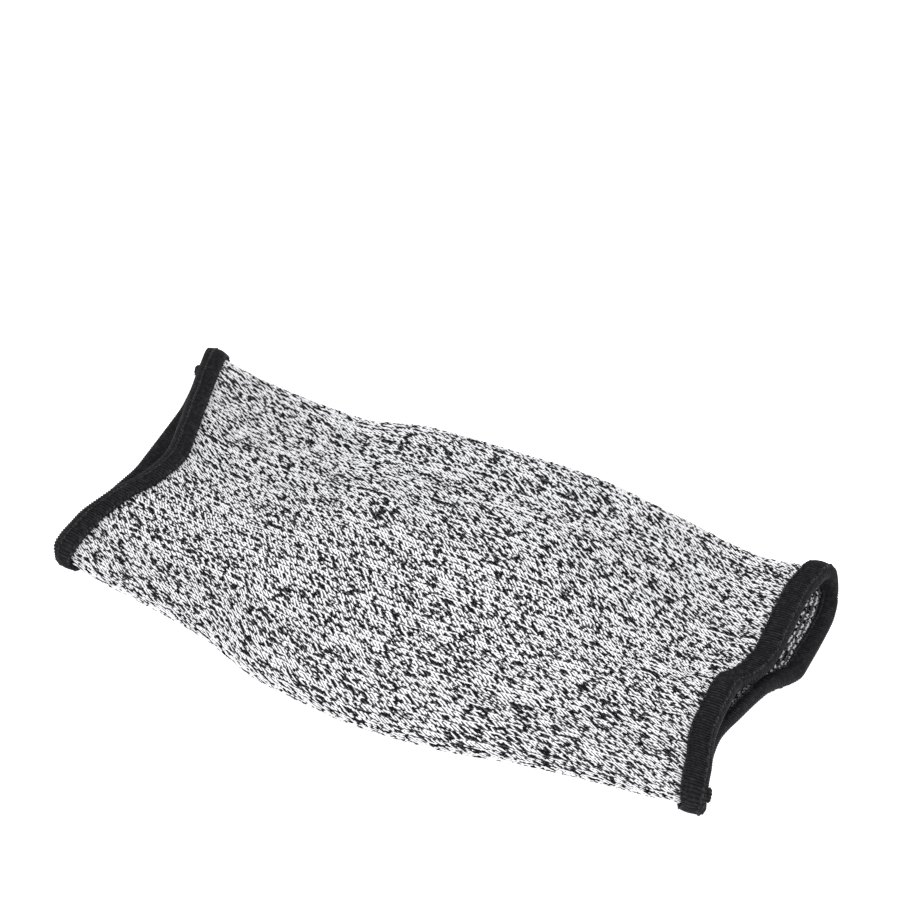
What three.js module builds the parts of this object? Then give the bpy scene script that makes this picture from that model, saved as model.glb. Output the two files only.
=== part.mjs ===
// Cut resistant sleeve: a knitted tube lying flat and slightly open, with a padded binding round each mouth.
// Millimetres, +Z up. -X is the wrist end, +X is the arm end, and -Y is the side nearest the viewer.
import * as THREE from "three";

// Overall sizes of the sleeve as it lies
const sleeveLength = 210;
const sleeveWidth = 122;
const sleeveHeight = 23;
const wallThickness = 1.5;

// Binding round each mouth, whose inner half is narrower, and how far the mouth edges wave in and out
const bindingWidth = 8;
const bindingInnerWidth = 4.8;
const bindingCloth = 1;
const seatGap = 0.3;
const mouthWave = 10;

// Thread ends at the two mouths
const threadRadius = 0.8;
const threadKnotLength = 4.6;

// Mesh fineness
const pointsAround = 56;
const rowsAlong = 26;
const threadSides = 8;
const threadSteps = 14;

// The binding stands out past the cloth by its own cloth and the gap, and covers the rest of its width
const bindingStand = seatGap + bindingCloth;
const coveredShare = (bindingWidth - bindingStand) / sleeveLength;
const innerShare = (bindingInnerWidth - bindingStand) / (bindingWidth - bindingStand);

// Height of the two bound layers with nothing between them, and what is left above that
const closedHeight = 2 * (wallThickness + bindingStand);
const openHeight = sleeveHeight - closedHeight;

// Shape of the tube. along: 0 at the wrist mouth, 1 at the arm mouth. near and far: where the side folds
// lie, as shares of sleeveWidth. shoulder: how much of the half width the folds' roundness takes. The rest
// are shares of openHeight: the folds' own height, and the top's from the far side to the near side.
const sections = [
  { along: 0.0, near: 0.37, far: 0.366, shoulder: 0.5, nearFold: 0.13, farFold: 0.16,
    farOuter: 0.28, farInner: 0.41, middle: 0.39, nearInner: 0.35, nearOuter: 0.23 },
  { along: 0.07, near: 0.385, far: 0.355, shoulder: 0.52, nearFold: 0.14, farFold: 0.17,
    farOuter: 0.32, farInner: 0.47, middle: 0.46, nearInner: 0.41, nearOuter: 0.27 },
  { along: 0.15, near: 0.4, far: 0.345, shoulder: 0.58, nearFold: 0.17, farFold: 0.18,
    farOuter: 0.34, farInner: 0.55, middle: 0.54, nearInner: 0.5, nearOuter: 0.34 },
  { along: 0.26, near: 0.43, far: 0.34, shoulder: 0.66, nearFold: 0.22, farFold: 0.22,
    farOuter: 0.44, farInner: 0.74, middle: 0.76, nearInner: 0.71, nearOuter: 0.5 },
  { along: 0.37, near: 0.485, far: 0.39, shoulder: 0.72, nearFold: 0.26, farFold: 0.25,
    farOuter: 0.52, farInner: 0.91, middle: 0.97, nearInner: 0.88, nearOuter: 0.63 },
  { along: 0.5, near: 0.5, far: 0.41, shoulder: 0.74, nearFold: 0.28, farFold: 0.26,
    farOuter: 0.58, farInner: 0.97, middle: 1, nearInner: 0.93, nearOuter: 0.68 },
  { along: 0.63, near: 0.475, far: 0.425, shoulder: 0.72, nearFold: 0.26, farFold: 0.25,
    farOuter: 0.55, farInner: 0.87, middle: 0.87, nearInner: 0.84, nearOuter: 0.6 },
  { along: 0.76, near: 0.415, far: 0.405, shoulder: 0.64, nearFold: 0.21, farFold: 0.22,
    farOuter: 0.47, farInner: 0.6, middle: 0.58, nearInner: 0.63, nearOuter: 0.45 },
  { along: 0.89, near: 0.37, far: 0.375, shoulder: 0.54, nearFold: 0.15, farFold: 0.22,
    farOuter: 0.45, farInner: 0.42, middle: 0.34, nearInner: 0.5, nearOuter: 0.31 },
  { along: 1.0, near: 0.343, far: 0.398, shoulder: 0.5, nearFold: 0.1, farFold: 0.23,
    farOuter: 0.45, farInner: 0.39, middle: 0.22, nearInner: 0.41, nearOuter: 0.17 },
];

// Where across the top each height lies, from 1 at the far fold to -1 at the near fold
const heightPlaces = { farOuter: 0.7, farInner: 0.35, middle: 0, nearInner: -0.35, nearOuter: -0.7 };
const heightReach = 0.24;

// Mouth edges. turn: 0 the far fold, 90 the middle of the top, 180 the near fold, 270 the middle of the
// bottom. wave: share of mouthWave, towards +X. curl: how far the lower edge lifts, a share of openHeight.
const wristEdge = [
  { turn: 0, wave: -0.36 },
  { turn: 37, wave: -0.1 },
  { turn: 58, wave: 0.23 },
  { turn: 76, wave: 0.61 },
  { turn: 92, wave: 0.82 },
  { turn: 105, wave: 0.57 },
  { turn: 118, wave: 0.03 },
  { turn: 137, wave: -0.45 },
  { turn: 180, wave: -0.6 },
  { turn: 250, wave: -0.46 },
  { turn: 268, wave: -0.21 },
  { turn: 300, wave: -0.18 },
  { turn: 318, wave: -0.3 },
];
const armEdge = [
  { turn: 0, wave: 0.11, curl: 0 },
  { turn: 30, wave: -0.15, curl: 0 },
  { turn: 50, wave: -0.32, curl: 0 },
  { turn: 75, wave: -0.32, curl: 0 },
  { turn: 88, wave: -0.52, curl: 0 },
  { turn: 100, wave: -0.95, curl: 0 },
  { turn: 120, wave: -0.94, curl: 0 },
  { turn: 143, wave: -0.6, curl: 0 },
  { turn: 180, wave: -0.32, curl: 0 },
  { turn: 215, wave: -0.62, curl: 0.11 },
  { turn: 240, wave: -0.88, curl: 0.23 },
  { turn: 255, wave: -0.6, curl: 0.29 },
  { turn: 270, wave: -0.25, curl: 0.25 },
  { turn: 286, wave: 0.39, curl: 0.09 },
  { turn: 316, wave: 0.43, curl: 0 },
  { turn: 335, wave: 0.32, curl: 0 },
];

// Where along the sleeve the lower edge starts to lift, how far in from a mouth the layers come down from
// their bindings, in covered depths, and how far up the side folds the creases fade out
const curlStart = 0.965;
const stepDownRun = 2.6;
const creaseFade = 0.5;

// Soft creases (rise below 0) and ridges on the top. angle is from the sleeve's axis, in degrees. reach and
// spread are shares of sleeveLength, rise is a share of openHeight.
const creases = [
  { along: 0.86, across: 0.16, angle: 6, reach: 0.14, spread: 0.038, rise: -0.11 },
  { along: 0.9, across: -0.26, angle: 4, reach: 0.115, spread: 0.043, rise: 0.09 },
  { along: 0.27, across: 0.62, angle: -20, reach: 0.105, spread: 0.029, rise: -0.12 },
  { along: 0.38, across: 0.6, angle: -10, reach: 0.076, spread: 0.029, rise: -0.09 },
  { along: 0.6, across: 0.62, angle: 8, reach: 0.095, spread: 0.033, rise: -0.09 },
  { along: 0.52, across: -0.42, angle: 12, reach: 0.124, spread: 0.048, rise: -0.07 },
  { along: 0.1, across: 0.06, angle: 4, reach: 0.095, spread: 0.043, rise: -0.08 },
  { along: 0.13, across: -0.5, angle: -6, reach: 0.105, spread: 0.043, rise: 0.07 },
];

// Reads a column of a table between its rows, without overshoot
function columnReader(places, values) {
  const last = places.length - 1;
  const rises = values.slice(1).map((value, i) => (value - values[i]) / (places[i + 1] - places[i]));
  const slopes = values.map((_, i) => {
    if (i === 0) return rises[0];
    if (i === last) return rises[last - 1];
    const product = rises[i - 1] * rises[i];
    return product > 0 ? (2 * product) / (rises[i - 1] + rises[i]) : 0;
  });
  return (place) => {
    const at = THREE.MathUtils.clamp(place, places[0], places[last]);
    let i = 0;
    while (i < last - 1 && at > places[i + 1]) i += 1;
    const span = places[i + 1] - places[i];
    const s = (at - places[i]) / span;
    const start = values[i] * (1 + 2 * s) * (1 - s) ** 2 + slopes[i] * span * s * (1 - s) ** 2;
    const end = values[i + 1] * s * s * (3 - 2 * s) + slopes[i + 1] * span * s * s * (s - 1);
    return start + end;
  };
}

// The same for a table whose rows run once round the tube: a few rows are repeated past each end
function ringReader(rows, column) {
  const count = rows.length;
  const repeated = 3;
  const wrapped = Array.from({ length: count + 2 * repeated }, (_, i) => {
    const lap = Math.floor((i - repeated) / count);
    const row = rows[i - repeated - lap * count];
    return { place: row.turn + 360 * lap, value: row[column] };
  });
  const read = columnReader(wrapped.map((row) => row.place), wrapped.map((row) => row.value));
  return (turn) => read(THREE.MathUtils.euclideanModulo(turn, 360));
}

const sectionReader = (column) =>
  columnReader(sections.map((row) => row.along), sections.map((row) => row[column]));
const readSection = {};
for (const column of ["near", "far", "shoulder", "nearFold", "farFold", ...Object.keys(heightPlaces)]) {
  readSection[column] = sectionReader(column);
}
const readWristWave = ringReader(wristEdge, "wave");
const readArmWave = ringReader(armEdge, "wave");
const readArmCurl = ringReader(armEdge, "curl");

// Height of the top above the surface, before the side folds round it down
function topHeight(along, across) {
  let sum = 0;
  let weights = 0;
  for (const [column, place] of Object.entries(heightPlaces)) {
    const weight = Math.exp(-(((across - place) / heightReach) ** 2));
    sum += weight * readSection[column](along);
    weights += weight;
  }
  return closedHeight + (openHeight * sum) / weights;
}

// What the creases and ridges add to the top
function creaseHeight(along, across) {
  let rise = 0;
  for (const crease of creases) {
    const angle = THREE.MathUtils.degToRad(crease.angle);
    const x = (along - crease.along) * sleeveLength;
    const y = ((across - crease.across) * sleeveWidth) / 2;
    const down = (x * Math.cos(angle) + y * Math.sin(angle)) / (crease.reach * sleeveLength);
    const aside = (y * Math.cos(angle) - x * Math.sin(angle)) / (crease.spread * sleeveLength);
    rise += crease.rise * openHeight * Math.exp(-down * down - aside * aside);
  }
  return rise;
}

// Point on the outside of the knit. turn in degrees round the tube, along from 0 to 1.
function outerPoint(turn, along) {
  const { lerp, smoothstep } = THREE.MathUtils;
  const across = Math.cos(THREE.MathUtils.degToRad(turn));
  const up = Math.sin(THREE.MathUtils.degToRad(turn));
  const near = readSection.near(along) * sleeveWidth;
  const far = readSection.far(along) * sleeveWidth;
  const foldShare = lerp(readSection.nearFold(along), readSection.farFold(along), (1 + across) / 2);
  const fold = closedHeight / 2 + foldShare * openHeight;
  const round = (1 - Math.min(Math.abs(up) / readSection.shoulder(along), 1)) ** 2;
  let z = fold * round;
  if (up > 0) {
    z += topHeight(along, across) * (1 - round) + creaseHeight(along, across) * smoothstep(up, 0, creaseFade);
  }
  const fromMouth = Math.min(along, 1 - along);
  z += bindingStand * (1 - smoothstep(fromMouth, coveredShare, stepDownRun * coveredShare));
  z += readArmCurl(turn) * openHeight * smoothstep(along, curlStart, 1);
  const wristX = -sleeveLength / 2 + readWristWave(turn) * mouthWave + bindingStand;
  const armX = sleeveLength / 2 + readArmWave(turn) * mouthWave - bindingStand;
  return new THREE.Vector3(lerp(wristX, armX, along), lerp(-near, far, (1 + across) / 2), z);
}

// Directions at a point: round the tube, towards the arm end, and out of the cloth
function frameAt(turn, along) {
  const turnStep = 0.5;
  const alongStep = 0.002;
  const start = Math.max(along - alongStep, 0);
  const end = Math.min(along + alongStep, 1);
  const around = outerPoint(turn + turnStep, along).sub(outerPoint(turn - turnStep, along)).normalize();
  const forward = outerPoint(turn, end).sub(outerPoint(turn, start)).normalize();
  const normal = new THREE.Vector3().crossVectors(around, forward).normalize();
  return { around, forward, normal };
}

// Point at a height above the knit's outside; below zero is inside the tube
function clothPoint(turn, along, height) {
  return outerPoint(turn, along).addScaledVector(frameAt(turn, along).normal, height);
}

// Closed solid from a ring of closed sections, each a list of points in the same order
function solidFromRings(rings) {
  const count = rings.length;
  const size = rings[0].length;
  const positions = rings.flat().flatMap((point) => point.toArray());
  const faces = [];
  for (let i = 0; i < count; i += 1) {
    const next = (i + 1) % count;
    for (let j = 0; j < size; j += 1) {
      const after = (j + 1) % size;
      const a = i * size + j;
      const b = next * size + j;
      const c = next * size + after;
      const d = i * size + after;
      faces.push(a, b, c, a, c, d);
    }
  }
  const geometry = new THREE.BufferGeometry();
  geometry.setAttribute("position", new THREE.Float32BufferAttribute(positions, 3));
  geometry.setIndex(faces);
  geometry.computeVertexNormals();
  return geometry;
}

const turns = Array.from({ length: pointsAround }, (_, i) => (360 * i) / pointsAround);

// Knitted tube: each section runs out along the outside of the wall and back along its inside
function knitTube() {
  const spread = Array.from({ length: rowsAlong }, (_, i) => (i + 0.5) / rowsAlong);
  const clear = spread.filter((share) => Math.min(share, 1 - share) > coveredShare);
  const half = coveredShare / 2;
  const rows = [0, half, coveredShare, ...clear, 1 - coveredShare, 1 - half, 1];
  return solidFromRings(
    turns.map((turn) => [
      ...rows.map((along) => clothPoint(turn, along, 0)),
      ...rows.toReversed().map((along) => clothPoint(turn, along, -wallThickness)),
    ]),
  );
}

// Half of the binding's section, from its stitched root to its round tip. covered: how far in from the
// mouth, as a share of that half's covered depth. rise: from the seat gap to the full cloth.
const bindingSkin = [
  { covered: 1, rise: 0.35 },
  { covered: 0.85, rise: 1 },
  { covered: 0.5, rise: 1 },
  { covered: 0, rise: 1 },
];

// Binding folded over the edge of one mouth: a U section, swept round the mouth
function binding(isWrist) {
  const place = (covered) => (isWrist ? covered * coveredShare : 1 - covered * coveredShare);
  const outside = (rise) => seatGap + rise * bindingCloth;
  const inside = (rise) => -wallThickness - outside(rise);
  const middle = -wallThickness / 2;
  const halfThickness = middle - inside(1);
  const rings = turns.map((turn) => {
    const out = frameAt(turn, place(0)).forward.multiplyScalar(isWrist ? -1 : 1);
    const leg = (covered, height) => clothPoint(turn, place(covered), height);
    const past = (height, stand) => leg(0, height).addScaledVector(out, stand);
    const tip = [45, 0, -45].map((angle) => {
      const radians = THREE.MathUtils.degToRad(angle);
      return past(middle + halfThickness * Math.sin(radians), bindingStand * Math.cos(radians));
    });
    return [
      ...bindingSkin.map((row) => leg(row.covered, outside(row.rise))),
      ...tip,
      ...bindingSkin.toReversed().map((row) => leg(row.covered * innerShare, inside(row.rise))),
      leg(innerShare, inside(0)),
      leg(innerShare / 2, inside(0)),
      leg(0, inside(0)),
      past((inside(0) + middle) / 2, seatGap),
      past((outside(0) + middle) / 2, seatGap),
      leg(0, outside(0)),
      leg(0.5, outside(0)),
      leg(1, outside(0)),
    ];
  });
  return solidFromRings(isWrist ? rings.toReversed() : rings);
}

// Short thread end on the binding's tip. aside: along the edge, in half lengths of the knot. out and up:
// past the tip and out of the cloth, in thread radii.
function threadEnd(isWrist, turn, route) {
  const along = isWrist ? 0 : 1;
  const frame = frameAt(turn, along);
  const out = frame.forward.clone().multiplyScalar(isWrist ? -1 : 1);
  const seat = clothPoint(turn, along, -wallThickness / 2).addScaledVector(out, bindingStand + seatGap);
  const points = route.map((step) =>
    seat
      .clone()
      .addScaledVector(frame.around, (step.aside * threadKnotLength) / 2)
      .addScaledVector(out, step.out * threadRadius)
      .addScaledVector(frame.normal, step.up * threadRadius),
  );
  const section = new THREE.Shape().absarc(0, 0, threadRadius, 0, 2 * Math.PI);
  return new THREE.ExtrudeGeometry(section, {
    curveSegments: threadSides,
    steps: threadSteps,
    extrudePath: new THREE.CatmullRomCurve3(points),
  });
}

const wristThreadTurn = 40;
const wristThreadRoute = [
  { aside: -1, out: 1, up: -0.4 },
  { aside: -0.4, out: 1.4, up: 0.4 },
  { aside: 0.2, out: 1.2, up: 0.8 },
  { aside: 0.9, out: 1.1, up: 0 },
];
const armThreadTurn = 161;
const armThreadRoute = [
  { aside: 0.9, out: 1, up: -0.5 },
  { aside: 0.4, out: 1.3, up: 0.2 },
  { aside: -0.3, out: 1.5, up: 0.8 },
  { aside: -0.9, out: 1.1, up: 0.9 },
];

const marlKnit = new THREE.MeshStandardMaterial({ color: "#b9b9bb", roughness: 0.95, metalness: 0 });
const blackBinding = new THREE.MeshStandardMaterial({ color: "#26272a", roughness: 0.85, metalness: 0 });
const blackThread = new THREE.MeshStandardMaterial({ color: "#1d1e20", roughness: 0.8, metalness: 0 });

const group = new THREE.Group();

function addPiece(name, geometry, material) {
  const mesh = new THREE.Mesh(geometry, material);
  mesh.name = name;
  group.add(mesh);
}

addPiece("knit_tube", knitTube(), marlKnit);
addPiece("wrist_band", binding(true), blackBinding);
addPiece("arm_band", binding(false), blackBinding);
addPiece("wrist_thread_knot", threadEnd(true, wristThreadTurn, wristThreadRoute), blackThread);
addPiece("arm_thread_knot", threadEnd(false, armThreadTurn, armThreadRoute), blackThread);

// The origin is under the middle of the whole sleeve, on the surface that it lies on
const bounds = new THREE.Box3().setFromObject(group);
const centre = bounds.getCenter(new THREE.Vector3());
group.position.set(-centre.x, -centre.y, -bounds.min.z);

export default group;
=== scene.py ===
"""Looks of a cut resistant sleeve: a marl knitted tube with a black overlocked binding round each mouth."""

import math

import bpy
import numpy as np
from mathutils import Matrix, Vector


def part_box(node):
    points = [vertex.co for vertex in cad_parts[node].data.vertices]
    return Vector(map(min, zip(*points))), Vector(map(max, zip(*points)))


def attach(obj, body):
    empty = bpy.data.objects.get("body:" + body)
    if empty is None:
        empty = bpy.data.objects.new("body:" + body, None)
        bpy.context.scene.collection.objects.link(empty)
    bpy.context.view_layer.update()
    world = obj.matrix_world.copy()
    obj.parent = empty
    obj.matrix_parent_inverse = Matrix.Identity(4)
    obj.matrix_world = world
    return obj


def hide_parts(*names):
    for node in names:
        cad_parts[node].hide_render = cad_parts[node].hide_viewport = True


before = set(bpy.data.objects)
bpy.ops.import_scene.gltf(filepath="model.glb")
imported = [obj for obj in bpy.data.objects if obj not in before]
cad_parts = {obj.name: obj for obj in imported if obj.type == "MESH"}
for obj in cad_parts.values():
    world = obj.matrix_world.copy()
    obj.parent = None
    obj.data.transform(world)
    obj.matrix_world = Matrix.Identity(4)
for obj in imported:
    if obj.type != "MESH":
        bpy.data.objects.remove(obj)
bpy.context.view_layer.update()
MM = 0.001

# Camera
# It stands where the photographer stood: over the near side, a little towards the arm end.
CAMERA_TURN, CAMERA_RISE = 26.3, 50.0
CAMERA_AIM = Vector((-22.6, 53.2, 0.0)) * MM
CAMERA_DISTANCE = 850 * MM
CAMERA_LENS, CAMERA_SENSOR = 108.12, 36.0

turn, rise = math.radians(CAMERA_TURN), math.radians(CAMERA_RISE)
towards_camera = Vector((math.sin(turn) * math.cos(rise), -math.cos(turn) * math.cos(rise), math.sin(rise)))
camera = bpy.data.objects.new("camera", bpy.data.cameras.new("camera"))
bpy.context.scene.collection.objects.link(camera)
camera.data.sensor_width = CAMERA_SENSOR
camera.data.lens = CAMERA_LENS
camera.location = CAMERA_AIM + towards_camera * CAMERA_DISTANCE
camera.rotation_mode = "QUATERNION"
camera.rotation_quaternion = (-towards_camera).to_track_quat("-Z", "Y")
bpy.context.scene.camera = camera


# Studio
# A white acrylic light table under wide soft lamps, as for a catalogue picture: almost no shadow.
def paint(code):
    """An sRGB hex colour, made linear."""
    parts = [int(code[i : i + 2], 16) / 255 for i in (1, 3, 5)]
    return (*[((c + 0.055) / 1.055) ** 2.4 if c > 0.04045 else c / 12.92 for c in parts], 1.0)


def add(tree, kind, inputs=None, **settings):
    """Adds a node with its settings, and its inputs as values or links."""
    node = tree.nodes.new(kind)
    for name, value in settings.items():
        setattr(node, name, value)
    for socket, value in (inputs or {}).items():
        if isinstance(value, bpy.types.NodeSocket):
            tree.links.new(value, node.inputs[socket])
        else:
            node.inputs[socket].default_value = value
    return node


def new_material(name):
    """A new material's node tree and its surface shader."""
    material = bpy.data.materials.new(name)
    material.use_nodes = True
    return material, material.node_tree, material.node_tree.nodes["Principled BSDF"]


# The lit table gives the eye an even white ground, on which the sleeve hardly throws a shadow
TABLE_SIZE, TABLE_GLOW, ROOM_LIGHT = 6.0, 0.5, 1.3
lit_acrylic, _, shader = new_material("matt white acrylic, lit from below")
shader.inputs["Base Color"].default_value = paint("#f8f8f9")
shader.inputs["Roughness"].default_value = 0.9
shader.inputs["Emission Color"].default_value = paint("#ffffff")
shader.inputs["Emission Strength"].default_value = TABLE_GLOW
half = TABLE_SIZE / 2
mesh = bpy.data.meshes.new("light table")
corners = [(-half, -half, 0), (half, -half, 0), (half, half, 0), (-half, half, 0)]
mesh.from_pydata(corners, [], [(0, 1, 2, 3)])
mesh.materials.append(lit_acrylic)
table_top = bpy.data.objects.new("light table", mesh)
bpy.context.scene.collection.objects.link(table_top)

world = bpy.data.worlds.new("white room")
world.use_nodes = True
world.node_tree.nodes["Background"].inputs["Color"].default_value = (1, 1, 1, 1)
world.node_tree.nodes["Background"].inputs["Strength"].default_value = ROOM_LIGHT
bpy.context.scene.world = world
bpy.context.scene.view_settings.view_transform = "Standard"

# power in watts, size in metres, place in metres, all aimed at the sleeve
LAMPS = {
    "window": dict(power=8.5, size=0.5, place=(0.46, -0.80, 1.12)),
    "ceiling": dict(power=5.0, size=1.2, place=(-0.1, 0.25, 1.5)),
}
for name, lamp in LAMPS.items():
    data = bpy.data.lights.new(name, "AREA")
    data.energy, data.size = lamp["power"], lamp["size"]
    light = bpy.data.objects.new(name, data)
    light.location = lamp["place"]
    light.rotation_mode = "QUATERNION"
    light.rotation_quaternion = (-light.location).to_track_quat("-Z", "Y")
    bpy.context.scene.collection.objects.link(light)


# The knitted tube's shape
# A seamless tube of marl yarn, lying on its side and slightly open. It repeats the solid's own rule: the
# fold lines, the heights across the top, the waves of the mouths and the soft creases, in millimetres.
LENGTH, WIDTH, HEIGHT = 210.0, 122.0, 23.0
WALL, BINDING, BINDING_CLOTH, SEAT_GAP = 1.5, 8.0, 1.0, 0.3
STAND = SEAT_GAP + BINDING_CLOTH
COVERED = (BINDING - STAND) / LENGTH
CLOSED = 2 * (WALL + STAND)
OPEN = HEIGHT - CLOSED

# along the sleeve; near and far fold, shares of the width; heights of the folds and of the top, shares of
# the open height; shoulder is the share of the half width that the folds' roundness takes
SECTION_COLUMNS = (
    "along near far near_fold far_fold shoulder far_outer far_inner middle near_inner near_outer".split()
)
SECTIONS = [
    (0.00, 0.370, 0.366, 0.13, 0.16, 0.50, 0.28, 0.41, 0.39, 0.35, 0.23),
    (0.07, 0.385, 0.355, 0.14, 0.17, 0.52, 0.32, 0.47, 0.46, 0.41, 0.27),
    (0.15, 0.400, 0.345, 0.17, 0.18, 0.58, 0.34, 0.55, 0.54, 0.50, 0.34),
    (0.26, 0.430, 0.340, 0.22, 0.22, 0.66, 0.44, 0.74, 0.76, 0.71, 0.50),
    (0.37, 0.485, 0.390, 0.26, 0.25, 0.72, 0.52, 0.91, 0.97, 0.88, 0.63),
    (0.50, 0.500, 0.410, 0.28, 0.26, 0.74, 0.58, 0.97, 1.00, 0.93, 0.68),
    (0.63, 0.475, 0.425, 0.26, 0.25, 0.72, 0.55, 0.87, 0.87, 0.84, 0.60),
    (0.76, 0.415, 0.405, 0.21, 0.22, 0.64, 0.47, 0.60, 0.58, 0.63, 0.45),
    (0.89, 0.370, 0.375, 0.15, 0.22, 0.54, 0.45, 0.42, 0.34, 0.50, 0.31),
    (1.00, 0.343, 0.398, 0.10, 0.23, 0.50, 0.45, 0.39, 0.22, 0.41, 0.17),
]
# where the heights stand across the tube, from -1 at the near fold to 1 at the far fold, and their reach
HEIGHT_PLACES = {"far_outer": 0.7, "far_inner": 0.35, "middle": 0.0, "near_inner": -0.35, "near_outer": -0.7}
HEIGHT_REACH = 0.24

# turn round the tube: 0 far fold, 90 top, 180 near fold, 270 bottom; then the wave along, as a share of
# MOUTH_WAVE in mm, and the curl up, as a share of the open height
WRIST_EDGE = [
    (0, -0.36), (37, -0.10), (58, 0.23), (76, 0.61), (92, 0.82), (105, 0.57), (118, 0.03), (137, -0.45),
    (180, -0.60), (250, -0.46), (268, -0.21), (300, -0.18), (318, -0.30),
]
ARM_EDGE = [
    (0, 0.11, 0), (30, -0.15, 0), (50, -0.32, 0), (75, -0.32, 0), (88, -0.52, 0), (100, -0.95, 0),
    (120, -0.94, 0), (143, -0.60, 0), (180, -0.32, 0), (215, -0.62, 0.11), (240, -0.88, 0.23),
    (255, -0.60, 0.29), (270, -0.25, 0.25), (286, 0.39, 0.09), (316, 0.43, 0), (335, 0.32, 0),
]
MOUTH_WAVE = 10.0
CURL_START = 0.965
# the floor of the tube steps up under a binding over this many of its widths
STEP_DOWN = 2.6
CREASE_FADE = 0.5

# along, across, angle from the axis in degrees, reach and spread as shares of the length, and the rise as a
# share of the open height
CREASES = [
    (0.86, 0.16, 6, 0.140, 0.038, -0.11),
    (0.90, -0.26, 4, 0.115, 0.043, 0.09),
    (0.27, 0.62, -20, 0.105, 0.029, -0.12),
    (0.38, 0.60, -10, 0.076, 0.029, -0.09),
    (0.60, 0.62, 8, 0.095, 0.033, -0.09),
    (0.52, -0.42, 12, 0.124, 0.048, -0.07),
    (0.10, 0.06, 4, 0.095, 0.043, -0.08),
    (0.13, -0.50, -6, 0.105, 0.043, 0.07),
]


def column_reader(places, values):
    """Reads a column of a table between its rows, without overshoot."""
    places, values = np.array(places, float), np.array(values, float)
    spans = np.diff(places)
    rises = np.diff(values) / spans
    product, total = rises[:-1] * rises[1:], rises[:-1] + rises[1:]
    inner = np.where(product > 0, 2 * product / np.where(product > 0, total, 1), 0)
    slopes = np.concatenate([rises[:1], inner, rises[-1:]])

    def read(at):
        at = np.clip(at, places[0], places[-1])
        i = np.clip(np.searchsorted(places, at, side="right") - 1, 0, len(spans) - 1)
        s = (at - places[i]) / spans[i]
        start = values[i] * (1 + 2 * s) * (1 - s) ** 2 + slopes[i] * spans[i] * s * (1 - s) ** 2
        end = values[i + 1] * s * s * (3 - 2 * s) + slopes[i + 1] * spans[i] * s * s * (s - 1)
        return start + end

    return read


def ring_reader(rows, column):
    """The same for a table that runs once round the tube."""
    wrapped = [(r[0] + 360 * lap, r[column]) for lap in (-1, 0, 1) for r in rows]
    read = column_reader(*zip(*wrapped))
    return lambda turn: read(np.mod(turn, 360))


def eased(x, low, high):
    """0 below low and 1 above high, with a smooth step between."""
    s = np.clip((x - low) / (high - low), 0, 1)
    return s * s * (3 - 2 * s)


def mixed(a, b, share):
    return a + (b - a) * share


section = {
    name: column_reader([r[0] for r in SECTIONS], [r[i] for r in SECTIONS])
    for i, name in enumerate(SECTION_COLUMNS)
    if i
}
wrist_wave = ring_reader(WRIST_EDGE, 1)
arm_wave = ring_reader(ARM_EDGE, 1)
arm_curl = ring_reader(ARM_EDGE, 2)


def outside(turn, along):
    """Points on the outside of the knit, for arrays of the turn in degrees and the share along."""
    across, up = np.cos(np.radians(turn)), np.sin(np.radians(turn))
    share_across = (1 + across) / 2
    fold = CLOSED / 2 + OPEN * mixed(section["near_fold"](along), section["far_fold"](along), share_across)
    away = (1 - np.minimum(np.abs(up) / section["shoulder"](along), 1)) ** 2
    weights = {
        name: np.exp(-(((across - place) / HEIGHT_REACH) ** 2)) for name, place in HEIGHT_PLACES.items()
    }
    heights = sum(w * section[name](along) for name, w in weights.items()) / sum(weights.values())
    top = (CLOSED + OPEN * heights) * (1 - away)
    for crease_along, crease_across, angle, reach, spread, crease_rise in CREASES:
        c, s = math.cos(math.radians(angle)), math.sin(math.radians(angle))
        x, y = (along - crease_along) * LENGTH, (across - crease_across) * WIDTH / 2
        down, aside = (x * c + y * s) / (reach * LENGTH), (y * c - x * s) / (spread * LENGTH)
        top = top + crease_rise * OPEN * np.exp(-down * down - aside * aside) * eased(up, 0, CREASE_FADE)
    z = fold * away + np.where(up > 0, top, 0)
    z = z + STAND * (1 - eased(np.minimum(along, 1 - along), COVERED, STEP_DOWN * COVERED))
    z = z + arm_curl(turn) * OPEN * eased(along, CURL_START, 1)
    wrist_x = -LENGTH / 2 + wrist_wave(turn) * MOUTH_WAVE + STAND
    arm_x = LENGTH / 2 + arm_wave(turn) * MOUTH_WAVE - STAND
    y = mixed(-section["near"](along) * WIDTH, section["far"](along) * WIDTH, share_across)
    return np.stack([mixed(wrist_x, arm_x, along), y, z], -1)


def unit(v):
    return v / np.linalg.norm(v, axis=-1, keepdims=True)


def cloth_frame(turn, along):
    """Directions at points: towards the arm end, and out of the cloth."""
    around = outside(turn + 0.5, along) - outside(turn - 0.5, along)
    forward = outside(turn, np.minimum(along + 0.002, 1)) - outside(turn, np.maximum(along - 0.002, 0))
    return unit(forward), unit(np.cross(unit(around), unit(forward)))


# A share round the tube, from the far fold over the top, is a share of the section's own length, so that the
# stitches are evenly wide. Past 0 and 1 it goes on round.
FINE_TURNS = np.linspace(0, 360, 721)


def turns_at(shares, along):
    """The turn in degrees at each share round (columns) of each section along (rows)."""
    laps = np.floor(shares)
    rows = []
    for place in along:
        ring = outside(FINE_TURNS, np.full(len(FINE_TURNS), place))[:, 1:]
        lengths = np.concatenate([[0], np.cumsum(np.linalg.norm(np.diff(ring, axis=0), axis=1))])
        rows.append(np.interp(shares - laps, lengths / lengths[-1], FINE_TURNS) + 360 * laps)
    return np.array(rows)


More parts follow.
